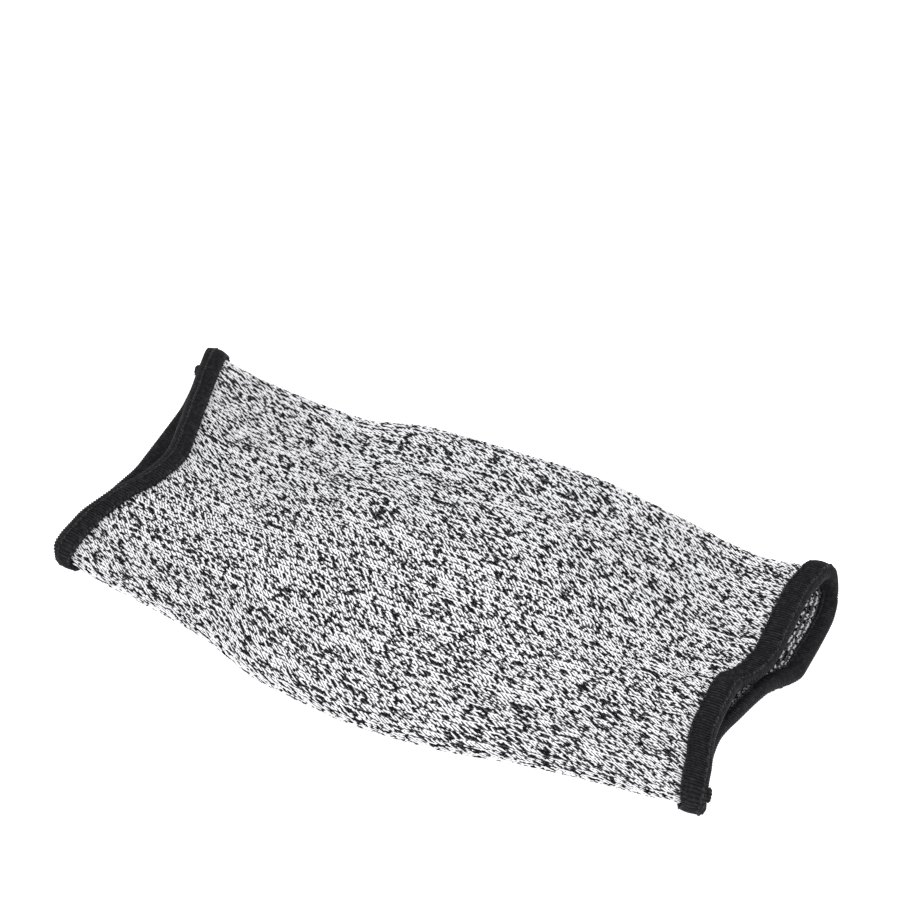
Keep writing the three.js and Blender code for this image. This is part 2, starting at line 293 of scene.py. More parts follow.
# The solid's own box places the rule in the frame
sample = outside(*np.broadcast_arrays(FINE_TURNS[None, :], np.linspace(0, 1, 101)[:, None]))
low, high = sample.reshape(-1, 3).min(0), sample.reshape(-1, 3).max(0)
tube_low, tube_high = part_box("knit_tube")
shift = (np.array(tube_low + tube_high) / MM - low - high) / 2
shift[2] = 0


def placed(points):
    """Millimetres on the rule's own axes, as metres in the frame."""
    return (points + shift) * MM


# The knitted cloth
# The ground of the knit: both faces of the cloth wall, just under the stitches. Yarn of white HPPE and glass
# with black strands, knitted on a circular machine; down between the stitches it lies in shade, so its white
# is painted dull dark grey: painted shade.
ROUND_POINTS, LONG_ROWS = 180, 106
STITCH_DEPTH = 0.5


def cloth_rows(shares, along, height):
    """Rows of points at a height over the outside of the knit, with the ways out of it and along it."""
    turns = turns_at(shares, along)
    places = np.broadcast_to(along[:, None], turns.shape)
    forward, out = cloth_frame(turns, places)
    return outside(turns, places) + out * height, out, forward


def link_mesh(name, points, faces, material=None):
    mesh = bpy.data.meshes.new(name)
    mesh.from_pydata(points, [], faces)
    if material:
        mesh.materials.append(material)
    mesh.shade_smooth()
    made = bpy.data.objects.new(name, mesh)
    bpy.context.scene.collection.objects.link(made)
    return made


def corner_map(mesh, name, uv):
    layer = mesh.uv_layers.new(name=name)
    layer.uv.foreach_set("vector", np.asarray(uv, np.float32).ravel())


def closed_loft(name, rings, material):
    """A closed wall from a ring of closed sections; its map runs round in u and along the section in v."""
    count, size = rings.shape[:2]
    index = np.arange(count * size).reshape(count, size)
    after = np.roll(index, -1, 0)
    faces = np.stack([index, after, np.roll(after, -1, 1), np.roll(index, -1, 1)], -1).reshape(-1, 4)
    made = link_mesh(name, placed(rings.reshape(-1, 3)).tolist(), faces.tolist(), material)
    u, v = np.meshgrid(np.arange(count) / count, np.arange(size) / size, indexing="ij")
    du, dv = 1 / count, 1 / size
    corners = np.stack([u, v, u + du, v, u + du, v + dv, u, v + dv], -1)
    corner_map(made.data, "OFBake", corners.reshape(-1, 2))
    return made


# how soft a dash's edge is, how far a dash leans with the twist, and how little dull fibre shines
DASH_EDGE = 0.015
PLY_LEAN = 0.04
FIBRE_SPECULAR = 0.15


# white holds the white strand's two tones; for the ground they are greys, which are painted shade
def marl(name, white, black, dark_share, roughness, pattern):
    """Marl yarn: a white strand with black ones plied in, that show as short dashes along it. Spun polymer
    fibre, so it is dull, and a fine bump follows its twist. pattern(tree) gives the place along the yarn,
    which yarn it is, and the twist round it."""
    material, tree, shader = new_material(name)
    along_yarn, which, twist = pattern(tree)
    place = add(tree, "ShaderNodeCombineXYZ", {"X": along_yarn, "Y": which})
    dashes = add(tree, "ShaderNodeTexNoise", {"Vector": place.outputs[0], "Scale": 1.0, "Detail": 1.0,
                                              "Roughness": 0.4}, noise_dimensions="2D")
    lean = add(tree, "ShaderNodeMath", {0: twist, 1: PLY_LEAN}, operation="MULTIPLY")
    level = add(tree, "ShaderNodeMath", {0: dashes.outputs["Fac"], 1: lean.outputs[0]}, operation="ADD")
    share = add(tree, "ShaderNodeMapRange", {"Value": level.outputs[0], "From Min": dark_share - DASH_EDGE,
                                             "From Max": dark_share + DASH_EDGE},
                interpolation_type="SMOOTHSTEP")
    speck = add(tree, "ShaderNodeTexNoise", {"Vector": place.outputs[0], "Scale": 6.0, "Detail": 2.0},
                noise_dimensions="2D")
    # the colour sockets of a Mix node share their names with its other kinds, so they go by place
    tint = add(tree, "ShaderNodeMix", {0: speck.outputs["Fac"], 6: paint(white[0]), 7: paint(white[1])},
               data_type="RGBA")
    mix = add(tree, "ShaderNodeMix", data_type="RGBA")
    tree.links.new(share.outputs["Result"], mix.inputs[0])
    tree.links.new(tint.outputs[2], mix.inputs[6])
    mix.inputs[7].default_value = paint(black)
    tree.links.new(mix.outputs[2], shader.inputs["Base Color"])
    fibres = add(tree, "ShaderNodeMath", {0: twist, 1: speck.outputs["Fac"]}, operation="ADD")
    bump = add(tree, "ShaderNodeBump", {"Height": fibres.outputs[0], "Distance": 0.00004, "Strength": 0.6})
    tree.links.new(bump.outputs["Normal"], shader.inputs["Normal"])
    shader.inputs["Roughness"].default_value = roughness
    shader.inputs["Specular IOR Level"].default_value = FIBRE_SPECULAR
    return material


# wales 1.95 mm apart and courses 1.27 mm apart, as a 10 gauge knit
WALES, COURSES = 120, 165
FLAT_WIDTH = 233.7
# four fine lines of yarn in each course
GROUND_LINES = 4.0 * COURSES


def ground_pattern(tree):
    """On the ground, the yarn runs round the tube, one course after another."""
    uv = add(tree, "ShaderNodeUVMap", uv_map="OFBake")
    parts = add(tree, "ShaderNodeSeparateXYZ", {0: uv.outputs[0]})
    along = add(tree, "ShaderNodeMath", {0: parts.outputs["X"], 1: FLAT_WIDTH}, operation="MULTIPLY")
    which = add(tree, "ShaderNodeMath", {0: parts.outputs["Y"], 1: GROUND_LINES}, operation="MULTIPLY")
    return along.outputs[0], which.outputs[0], parts.outputs["X"]


# Dull dark grey, painted shade for the gaps between the stitches, so that every stitch stands out against
# them
shaded_ground_marl = marl("marl knit ground in painted shade", ("#58585c", "#444448"), "#0a0a0c", 0.70, 0.95, ground_pattern)

shares = np.arange(ROUND_POINTS) / ROUND_POINTS
rows = np.concatenate([[0, COVERED / 2], np.linspace(COVERED, 1 - COVERED, LONG_ROWS), [1 - COVERED / 2, 1]])
outer, _, _ = cloth_rows(shares, rows, -STITCH_DEPTH)
inner, _, _ = cloth_rows(shares, rows, STITCH_DEPTH - WALL)
cloth = closed_loft("knit_cloth", np.concatenate([outer, inner[::-1]]).transpose(1, 0, 2), shaded_ground_marl)
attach(cloth, "root")
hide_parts("knit_tube")


# Laying stitches on a surface
# Every stitch and thread is laid out flat, on the pitch of the machine that made it, and then wrapped on the
# cloth: X goes round the tube and Y along it. The wrapped surface brings its flat sizes as a map.
def guide(name, points, out, flat_x, flat_y):
    """A surface to wrap on, from rows of points, each row at one flat_y."""
    height, width = points.shape[:2]
    index = np.arange(height * width).reshape(height, width)
    faces = np.stack([index[:-1, :-1], index[:-1, 1:], index[1:, 1:], index[1:, :-1]], -1).reshape(-1, 4)
    made = link_mesh(name, placed(points.reshape(-1, 3)).tolist(), faces.tolist())
    ways_out = made.data.attributes.new("out", "FLOAT_VECTOR", "POINT")
    ways_out.data.foreach_set("vector", out.astype(np.float32).ravel())
    u = (flat_x - flat_x.min()) / np.ptp(flat_x)
    v = (flat_y - flat_y.min()) / np.ptp(flat_y)
    uv = np.stack(np.broadcast_arrays(u[None, :], v[:, None]), -1).reshape(-1, 2)[faces.ravel()]
    corner_map(made.data, "flat", uv)
    made["low"] = [float(flat_x.min()) * MM, float(flat_y.min()) * MM, 0.0]
    made["span"] = [float(np.ptp(flat_x)) * MM, float(np.ptp(flat_y)) * MM, 1.0]
    return made


LAYING_INPUTS = [
    ("Surface", "NodeSocketGeometry"), ("Stitch", "NodeSocketObject"), ("Columns", "NodeSocketInt"),
    ("Rows", "NodeSocketInt"), ("Pitch", "NodeSocketVector"), ("Start", "NodeSocketVector"),
    ("Low", "NodeSocketVector"), ("Span", "NodeSocketVector"), ("Yarn Step", "NodeSocketFloat"),
    ("Wander", "NodeSocketFloat"), ("Wander Size", "NodeSocketFloat"), ("Unevenness", "NodeSocketFloat"),
    ("Seed", "NodeSocketInt"), ("Material", "NodeSocketMaterial"),
]


# a place outside the surface's map would be lost
MAP_EDGE = 0.0005
# how far apart two rows lie in the noise of the dashes
ROW_STEP = 7.31
# how far an uneven stitch turns, in radians, and how much flatter or higher it stands
STITCH_TURN, STITCH_FLATTER, STITCH_HIGHER = 0.35, -1.0, 0.6


def laying_tree():
    tree = bpy.data.node_groups.new("stitches laid on a surface", "GeometryNodeTree")
    for name, kind in LAYING_INPUTS:
        tree.interface.new_socket(name, in_out="INPUT", socket_type=kind)
    tree.interface.new_socket("Stitches", in_out="OUTPUT", socket_type="NodeSocketGeometry")
    given = add(tree, "NodeGroupInput").outputs

    def math_(operation, a, b):
        return add(tree, "ShaderNodeMath", {0: a, 1: b}, operation=operation).outputs[0]

    def vector(operation, a, b):
        return add(tree, "ShaderNodeVectorMath", {0: a, 1: b}, operation=operation).outputs[0]

    def xyz(x, y, z=0.0):
        return add(tree, "ShaderNodeCombineXYZ", {"X": x, "Y": y, "Z": z}).outputs[0]

    def spread(low_value, high_value, salt):
        seed = math_("ADD", given["Seed"], float(salt))
        return add(tree, "FunctionNodeRandomValue", {"Min": low_value, "Max": high_value, "Seed": seed},
                   data_type="FLOAT").outputs[1]

    def attribute(name):
        return add(tree, "GeometryNodeInputNamedAttribute", {"Name": name},
                   data_type="FLOAT_VECTOR").outputs[0]

    # one point for each stitch, row after row
    index = add(tree, "GeometryNodeInputIndex").outputs[0]
    row = math_("FLOOR", math_("DIVIDE", index, given["Columns"]), 0.0)
    column = math_("SUBTRACT", index, math_("MULTIPLY", row, given["Columns"]))
    spot = vector("ADD", vector("MULTIPLY", xyz(column, row), given["Pitch"]), given["Start"])
    count = math_("MULTIPLY", given["Columns"], given["Rows"])
    points = add(tree, "GeometryNodePoints", {"Count": count, "Position": spot}).outputs[0]
    cell = add(tree, "GeometryNodeStoreNamedAttribute",
               {"Geometry": points, "Name": "cell_place", "Value": xyz(column, row)},
               data_type="FLOAT_VECTOR", domain="POINT").outputs[0]
    stitch = add(tree, "GeometryNodeObjectInfo", {"Object": given["Stitch"]}).outputs["Geometry"]
    tilt = math_("MULTIPLY", spread(-STITCH_TURN, STITCH_TURN, 1), given["Unevenness"])
    taller = math_("MULTIPLY", spread(STITCH_FLATTER, STITCH_HIGHER, 2), given["Unevenness"])
    size = xyz(1.0, 1.0, math_("ADD", 1.0, taller))
    placed_stitches = add(tree, "GeometryNodeInstanceOnPoints", {
        "Points": cell, "Instance": stitch, "Rotation": xyz(0.0, 0.0, tilt), "Scale": size,
    })
    real = add(tree, "GeometryNodeRealizeInstances", {"Geometry": placed_stitches.outputs[0]}).outputs[0]

    # the yarn's own place: along it, which row, and round it
    strand, cell_place = attribute("strand"), attribute("cell_place")
    strand_parts = add(tree, "ShaderNodeSeparateXYZ", {0: strand}).outputs
    cell_parts = add(tree, "ShaderNodeSeparateXYZ", {0: cell_place}).outputs
    row_number = math_("ADD", cell_parts["Y"], given["Seed"])
    along = math_("ADD", strand_parts["X"], math_("MULTIPLY", cell_parts["X"], given["Yarn Step"]))
    yarn = xyz(along, math_("MULTIPLY", row_number, ROW_STEP), strand_parts["Y"])
    marked = add(tree, "GeometryNodeStoreNamedAttribute", {"Geometry": real, "Name": "yarn", "Value": yarn},
                 data_type="FLOAT_VECTOR", domain="POINT").outputs[0]
    all_cells = xyz(given["Columns"], given["Rows"], 1.0)
    grid = vector("DIVIDE", vector("ADD", attribute("cell"), cell_place), all_cells)
    mapped = add(tree, "GeometryNodeStoreNamedAttribute",
                 {"Geometry": marked, "Name": "OFBake", "Value": grid},
                 data_type="FLOAT2", domain="CORNER").outputs[0]

    # knit never lies quite straight: the flat places wander a little before they are wrapped
    flat = add(tree, "GeometryNodeInputPosition").outputs[0]
    noise = add(tree, "ShaderNodeTexNoise",
                {"Vector": vector("DIVIDE", flat, xyz(given["Wander Size"], given["Wander Size"], 1.0)),
                 "Scale": 1.0, "Detail": 1.0}, noise_dimensions="2D").outputs["Color"]
    wander = xyz(given["Wander"], given["Wander"])
    at = vector("ADD", flat, vector("MULTIPLY", vector("SUBTRACT", noise, (0.5, 0.5, 0.5)), wander))
    share = vector("DIVIDE", vector("SUBTRACT", at, given["Low"]), given["Span"])
    share = vector("MAXIMUM", share, (MAP_EDGE, MAP_EDGE, -1.0))
    share = vector("MINIMUM", share, (1 - MAP_EDGE, 1 - MAP_EDGE, 1.0))
    flat_map = attribute("flat")

    def sampled(value):
        node = add(tree, "GeometryNodeSampleUVSurface", data_type="FLOAT_VECTOR")
        tree.links.new(given["Surface"], node.inputs["Mesh"])
        tree.links.new(value, next(s for s in node.inputs if s.name == "Value" and s.enabled))
        tree.links.new(flat_map, next(s for s in node.inputs if s.identifier == "Source UV Map"))
        tree.links.new(share, next(s for s in node.inputs if s.identifier == "Sample UV"))
        return next(s for s in node.outputs if s.name == "Value" and s.enabled)

    surface_point = sampled(add(tree, "GeometryNodeInputPosition").outputs[0])
    height = add(tree, "ShaderNodeSeparateXYZ", {0: flat}).outputs["Z"]
    lift = add(tree, "ShaderNodeVectorMath", {0: sampled(attribute("out")), "Scale": height},
               operation="SCALE").outputs[0]
    wrapped = add(tree, "GeometryNodeSetPosition",
                  {"Geometry": mapped, "Position": vector("ADD", surface_point, lift)}).outputs[0]
    smooth = add(tree, "GeometryNodeSetShadeSmooth", {"Geometry": wrapped}).outputs[0]
    finished = add(tree, "GeometryNodeSetMaterial",
                   {"Geometry": smooth, "Material": given["Material"]}).outputs[0]
    tree.links.new(finished, add(tree, "NodeGroupOutput").inputs[0])
    return tree


LAYING = laying_tree()


def laid(name, surface, **values):
    """Lays a stitch over a surface and keeps the result as a plain mesh."""
    worker = bpy.data.objects.new(name + " laying", surface.data)
    bpy.context.scene.collection.objects.link(worker)
    modifier = worker.modifiers.new("laying", "NODES")
    modifier.node_group = LAYING
    values = {"Low": surface["low"], "Span": surface["span"], **values}
    for item in LAYING.interface.items_tree:
        value = values.get(item.name.replace(" ", "_"), values.get(item.name))
        if item.in_out == "INPUT" and value is not None:
            modifier[item.identifier] = value
    view = bpy.context.evaluated_depsgraph_get()
    mesh = bpy.data.meshes.new_from_object(worker.evaluated_get(view), preserve_all_data_layers=True,
                                           depsgraph=view)
    bpy.data.objects.remove(worker)
    mesh.name = name
    for extra in ("cell", "strand", "cell_place"):
        if extra in mesh.attributes:
            mesh.attributes.remove(mesh.attributes[extra])
    made = bpy.data.objects.new(name, mesh)
    bpy.context.scene.collection.objects.link(made)
    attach(made, "root")
    return made


def strands(name, legs, sides=4, flatness=0.85):
    """A stitch of closed tapered strands. A leg is its start along the yarn and its points (x, y, z, radius),
    all in mm. Its first and last points are tips."""
    points, faces, strand, cells = [], [], [], []
    for number, (start, line) in enumerate(legs):
        line = np.array(line, float)
        centre, radius = line[:, :3], line[:, 3]
        tangent = unit(np.gradient(centre[:, :2], axis=0))
        side = np.stack([-tangent[:, 1], tangent[:, 0], np.zeros(len(line))], -1)
        lengths = start + np.concatenate([[0], np.cumsum(np.linalg.norm(np.diff(centre, axis=0), axis=1))])
        first, count = len(points), len(line) - 2
        for i in range(1, len(line) - 1):
            for j in range(sides):
                a = 2 * math.pi * j / sides
                upward = np.array([0, 0, flatness * math.sin(a)])
                points.append(centre[i] + radius[i] * (side[i] * math.cos(a) + upward))
                strand.append((lengths[i], j / sides, 0))
        tips = len(points)
        points += [centre[0], centre[-1]]
        strand += [(lengths[0], 0.5, 0), (lengths[-1], 0.5, 0)]
        low_v, high_v = number / len(legs), (number + 1) / len(legs)
        for j in range(sides):
            v0, v1 = mixed(low_v, high_v, j / sides), mixed(low_v, high_v, (j + 1) / sides)
            a, b = first + j, first + (j + 1) % sides
            step = 1 / (count + 1)
            faces.append((tips, b, a))
            cells += [(0, (v0 + v1) / 2), (step, v1), (step, v0)]
            for i in range(count - 1):
                faces.append((a + i * sides, b + i * sides, b + (i + 1) * sides, a + (i + 1) * sides))
                u0, u1 = (i + 1) * step, (i + 2) * step
                cells += [(u0, v0), (u0, v1), (u1, v1), (u1, v0)]
            last = (count - 1) * sides
            faces.append((a + last, b + last, tips + 1))
            cells += [(1 - step, v0), (1 - step, v1), (1, (v0 + v1) / 2)]
    made = link_mesh(name, (np.array(points) * MM).tolist(), faces)
    made.data.attributes.new("strand", "FLOAT_VECTOR", "POINT").data.foreach_set(
        "vector", np.array(strand, np.float32).ravel())
    corner_map(made.data, "cell", cells)
    return made


# Knit stitches
# Each stitch of the plain knit shows two legs. The machine's pull makes the fabric lean: one leg crosses the
# wale steeply, the other lies almost along it, and the legs of one wale sit on each other like shingles.
# They are laid over the ground in four pieces: the top and the underside of each half of the sleeve.
# spots of the dashes' noise to a millimetre of yarn, and radians of ply twist to it: one turn in 3.5 mm
DASH_SCALE, PLY_TWIST = 0.25, 1.8


def yarn_pattern(tree):
    yarn = add(tree, "ShaderNodeAttribute", attribute_name="yarn", attribute_type="GEOMETRY")
    parts = add(tree, "ShaderNodeSeparateXYZ", {0: yarn.outputs["Vector"]})
    along = add(tree, "ShaderNodeMath", {0: parts.outputs["X"], 1: DASH_SCALE}, operation="MULTIPLY")
    ply = add(tree, "ShaderNodeMath", {0: parts.outputs["X"], 1: PLY_TWIST}, operation="MULTIPLY")
    turned = add(tree, "ShaderNodeMath", {0: parts.outputs["Z"], 1: 2 * math.pi}, operation="MULTIPLY_ADD")
    tree.links.new(ply.outputs[0], turned.inputs[2])
    twist = add(tree, "ShaderNodeMath", {0: turned.outputs[0]}, operation="SINE")
    return along.outputs[0], parts.outputs["Y"], twist.outputs[0]


# Off-white with short black dashes: the salt and pepper look that the sleeve has all over
yarn_marl = marl("marl yarn of white HPPE and black polyester", ("#e3e3e5", "#d0d0d3"), "#030304", 0.545,
                 0.85, yarn_pattern)

WALE_PITCH, COURSE_PITCH = FLAT_WIDTH / WALES, LENGTH / COURSES
# millimetres of yarn in one stitch, and where in its wale a stitch starts
LOOP_YARN, WALE_START = 6.4, 0.25
knit_stitch = strands("knit stitch", [
    (0.0, [(0.45, 2.95, -0.25, 0), (0.20, 2.05, 0.06, 0.23), (-0.12, 0.70, 0.16, 0.24),
           (-0.25, -0.20, -0.20, 0)]),
    (3.1, [(-0.05, -0.35, -0.20, 0), (0.42, 0.45, 0.20, 0.25), (1.25, 1.90, 0.18, 0.24),
           (1.75, 2.75, -0.25, 0)]),
])
# a surface laps over itself by this share, so that the stitches at its seam find a place
ROUND_EXTRA = 0.04
GUIDE_COLUMNS, GUIDE_ROWS, INSIDE_ROWS, BAND_COLUMNS = 301, 181, 41, 401
guide_shares = np.linspace(-ROUND_EXTRA, 1 + ROUND_EXTRA, GUIDE_COLUMNS)
guide_rows = np.linspace(0.004, 0.996, GUIDE_ROWS)
points, out, _ = cloth_rows(guide_shares, guide_rows, -STITCH_DEPTH)
outer_guide = guide("outer face", points, out, guide_shares * FLAT_WIDTH, guide_rows * LENGTH)

FIRST_COURSE = math.floor(COVERED * LENGTH / COURSE_PITCH) - 1
LAST_COURSE = COURSES - FIRST_COURSE - 2
MIDDLE_COURSE, TOP_WALES = COURSES // 2, 60
for level, first_wale, wale_count in (("top", 0, TOP_WALES), ("under", TOP_WALES, WALES - TOP_WALES)):
    for end, first, last in (("wrist", FIRST_COURSE, MIDDLE_COURSE), ("arm", MIDDLE_COURSE, LAST_COURSE)):
        laid(
            f"stitches_{level}_{end}_half", outer_guide, Stitch=knit_stitch, Columns=wale_count,
            Rows=last - first, Pitch=(WALE_PITCH * MM, COURSE_PITCH * MM, 0), Yarn_Step=LOOP_YARN,
            Start=((first_wale + WALE_START) * WALE_PITCH * MM, first * COURSE_PITCH * MM, 0),
            Wander=1.0 * MM, Wander_Size=8 * MM, Unevenness=0.3, Seed=100 * first + first_wale,
            Material=yarn_marl)


# Inside of the mouths
# The back of the plain knit, seen where a mouth gapes: short arches of yarn that hook into each other.
arch = strands("arch of the knit's back", [
    (0.0, [(-1.10, -0.80, -0.20, 0), (-0.60, 0.20, 0.20, 0.28), (0.50, 0.35, 0.22, 0.28),
           (1.00, -0.50, -0.20, 0)]),
    (2.6, [(-0.10, 0.95, -0.20, 0), (0.42, 0.00, 0.16, 0.27), (1.42, 0.15, 0.20, 0.27),
           (1.95, 1.05, -0.20, 0)]),
])
INSIDE_COURSES = 17
# turn round the tube, and the inner leg of the binding there as a share of its outer leg; the stitches start
# where that leg is narrowest
INNER_EDGES = {
    "wrist": [(0, 1.0), (180, 1.0)],
    "arm": [(0, 0.6), (195, 0.7), (210, 0.22), (262, 0.22), (285, 0.6)],
}
HEM_SHARE = min(share for _, share in INNER_EDGES["arm"])
inside_shares = np.linspace(1 + ROUND_EXTRA, -ROUND_EXTRA, GUIDE_COLUMNS)
for end, low_row, high_row in (("wrist", 0.002, 0.16), ("arm", 0.84, 0.998)):
    rows = np.linspace(low_row, high_row, INSIDE_ROWS)
    points, out, _ = cloth_rows(inside_shares, rows, STITCH_DEPTH - WALL)
    inner_guide = guide(f"{end} inner face", points, -out, -inside_shares * FLAT_WIDTH, rows * LENGTH)
    hem = HEM_SHARE * COVERED * LENGTH - COURSE_PITCH
    first = hem if end == "wrist" else LENGTH - hem - INSIDE_COURSES * COURSE_PITCH
    piece = laid(f"stitches_inside_{end}_mouth", inner_guide, Stitch=arch, Columns=WALES,
                 Rows=INSIDE_COURSES, Pitch=(WALE_PITCH * MM, COURSE_PITCH * MM, 0), Yarn_Step=LOOP_YARN,
                 Start=((WALE_START - WALES) * WALE_PITCH * MM, first * MM, 0),
                 Wander=1.2 * MM, Wander_Size=9 * MM, Unevenness=0.3, Seed=7 if end == "wrist" else 9,
                 Material=yarn_marl)
    bpy.data.objects.remove(inner_guide)

for helper in (outer_guide, knit_stitch, arch):
    bpy.data.objects.remove(helper)


# Bindings
# Each raw mouth edge is whipped over with black elastic polyester on an overlock machine: a padded roll,
# with the threads side by side across it, and a chain of little loops where they turn along both its edges.
# how deep the roll lies in the solid, to leave its threads room, and how high over the table it stays
BAND_SHELL, REST_HEIGHT = 0.3, 0.9
# from thread to thread and from loop to loop; the threads' height over the roll, and their radius
THREAD_PITCH, LOOP_PITCH = 0.82, 1.25
THREAD_RISE, COVER_RADIUS, THREAD_POINTS = 0.05, 0.37, 13
# how far in the three rows of loops lie: from the outer root, from the start of the tip, from the inner root
ROOT_INSET, NEEDLE_INSET, INNER_INSET = 0.55, {"wrist": 2.2, "arm": 0.6}, 0.9
# the rounded tip: its rows of points, how far it goes past the knit, and its padding
TIP_STEPS, TIP_REACH, TIP_PUFF = 9, 0.8, 0.1
# how far the near fold draws a binding's edges in, and how closely that keeps to the fold
FOLD_ROUND, FOLD_FOCUS = 0.16, 8
# across the outer leg from its root: how far in from the mouth, the padded rise in cloths, and its slope
LEG_PLACES = (1.0, 0.93, 0.82, 0.6, 0.4, 0.2)
CROWN = (0.1, 1.0, 1.6, 2.0, 1.9, 1.5)
CROWN_LEAN = (-1.0, -0.9, -0.5, -0.15, 0.05, 0.25)
# the same rise on the inner leg, in cloths
INNER_RISE = (0.2, 0.8, 1.0, 1.0, 1.0, 1.0)
# spots and fibres to a metre: paler specks, partly dusty fibre and partly painted glint, about 1.1 mm apart,
# fibres about 0.4 mm
DUST_AND_GLINT_SPOTS, FIBRES = 900.0, 2600.0
THREAD_SHEEN = 0.02


def black_thread(name, thread, dust_and_glint, roughness):
    """Spun black thread: near black, with a dull sheen and paler specks in places, partly dusty, frayed fibre
    and partly painted glints of light.
    """
    material, tree, shader = new_material(name)
    place = add(tree, "ShaderNodeTexCoord")
    dust_and_glint_noise = add(tree, "ShaderNodeTexNoise",
                     {"Vector": place.outputs["Object"], "Scale": DUST_AND_GLINT_SPOTS, "Detail": 3.0})
    worn_and_glint = add(tree, "ShaderNodeMapRange",
               {"Value": dust_and_glint_noise.outputs["Fac"], "From Min": 0.45, "From Max": 0.8})
    # the mix paints paler specks: partly dusty fibre, partly painted glints of light
    mix = add(tree, "ShaderNodeMix", data_type="RGBA")
    tree.links.new(worn_and_glint.outputs["Result"], mix.inputs[0])
    mix.inputs[6].default_value, mix.inputs[7].default_value = paint(thread), paint(dust_and_glint)
    tree.links.new(mix.outputs[2], shader.inputs["Base Color"])
    fibre = add(tree, "ShaderNodeTexNoise",
                {"Vector": place.outputs["Object"], "Scale": FIBRES, "Detail": 2.0})
    bump = add(tree, "ShaderNodeBump", {"Height": fibre.outputs["Fac"], "Distance": 0.0001, "Strength": 0.5})
    tree.links.new(bump.outputs["Normal"], shader.inputs["Normal"])
    shader.inputs["Roughness"].default_value = roughness
    shader.inputs["Specular IOR Level"].default_value = FIBRE_SPECULAR
    shader.inputs["Sheen Weight"].default_value = THREAD_SHEEN
    return material


# Near black, so that only the round backs of the threads show as fine ribs
overlock_black = black_thread("black elastic overlock thread", "#0d0d0f", "#29292d", 0.7)
# A little paler, as painted highlight on the raised loops, and glossier, so that the rows of loops read as
# beads along the edges
chain_black = black_thread("black overlock chain thread", "#0e0e11", "#34343a", 0.6)
# The darkest, as almost no light comes back from between the threads
binding_black = black_thread("black binding roll", "#08080a", "#131316", 0.85)


def drawn_in(out):
    """How far a binding's edges are drawn in at the near fold, as a share of its outer leg."""
    return FOLD_ROUND * np.clip(-out[..., 1], 0, 1) ** FOLD_FOCUS


def band_skin(is_wrist, shares):
    """Rows of points over a binding, from its outer root over the tip to its inner root, with the directions
    out of it and the distance travelled across it."""
    half_thick = WALL / 2 + STAND - BAND_SHELL
    rows, outs = [], []
    mouth = 0.0 if is_wrist else 1.0
    turns = turns_at(shares, [mouth])[0]
    inner_width = ring_reader(INNER_EDGES["wrist" if is_wrist else "arm"], 1)(turns)
    edge = drawn_in(cloth_frame(turns, np.full(len(turns), mouth))[1])

    def leg(covered, height):
        covered = mixed(edge, 1 - edge, covered) * COVERED
        places = covered if is_wrist else 1 - covered
        forward, out = cloth_frame(turns, places)
        return outside(turns, places) + out * height, out, forward * (-1 if is_wrist else 1)

    for covered, rise, lean in zip(LEG_PLACES, CROWN, CROWN_LEAN):
        points, out, ahead = leg(covered, SEAT_GAP)
        puffed = min(rise, 1) + max(rise - 1, 0) * np.clip(out[:, 2:] + 1, 0, 1)
        rows.append(points + out * puffed * (BINDING_CLOTH - BAND_SHELL))
        outs.append(unit(out + ahead * lean))
    centre, out, ahead = leg(0, -WALL / 2)
    for angle in np.radians(np.linspace(90, -90, TIP_STEPS)):
        puff = 1 + TIP_PUFF * max(math.sin(angle), 0)
        rows.append(centre + out * half_thick * puff * math.sin(angle) + ahead * TIP_REACH * math.cos(angle))
        outs.append(unit(out * math.sin(angle) + ahead * math.cos(angle)))
    for covered, rise in zip(LEG_PLACES[::-1], INNER_RISE[::-1]):
        height = -WALL - SEAT_GAP - rise * (BINDING_CLOTH - BAND_SHELL)
        points, out, ahead = leg(covered * inner_width, height)
        rows.append(points)
        outs.append(unit(-out - ahead * (1 - rise)))
    rows, outs = np.array(rows), np.array(outs)
    rows[..., 2] = np.maximum(rows[..., 2], REST_HEIGHT)
    travelled = np.concatenate([[0], np.cumsum(np.linalg.norm(np.diff(rows, axis=0), axis=2).mean(1))])
    return rows, outs, travelled


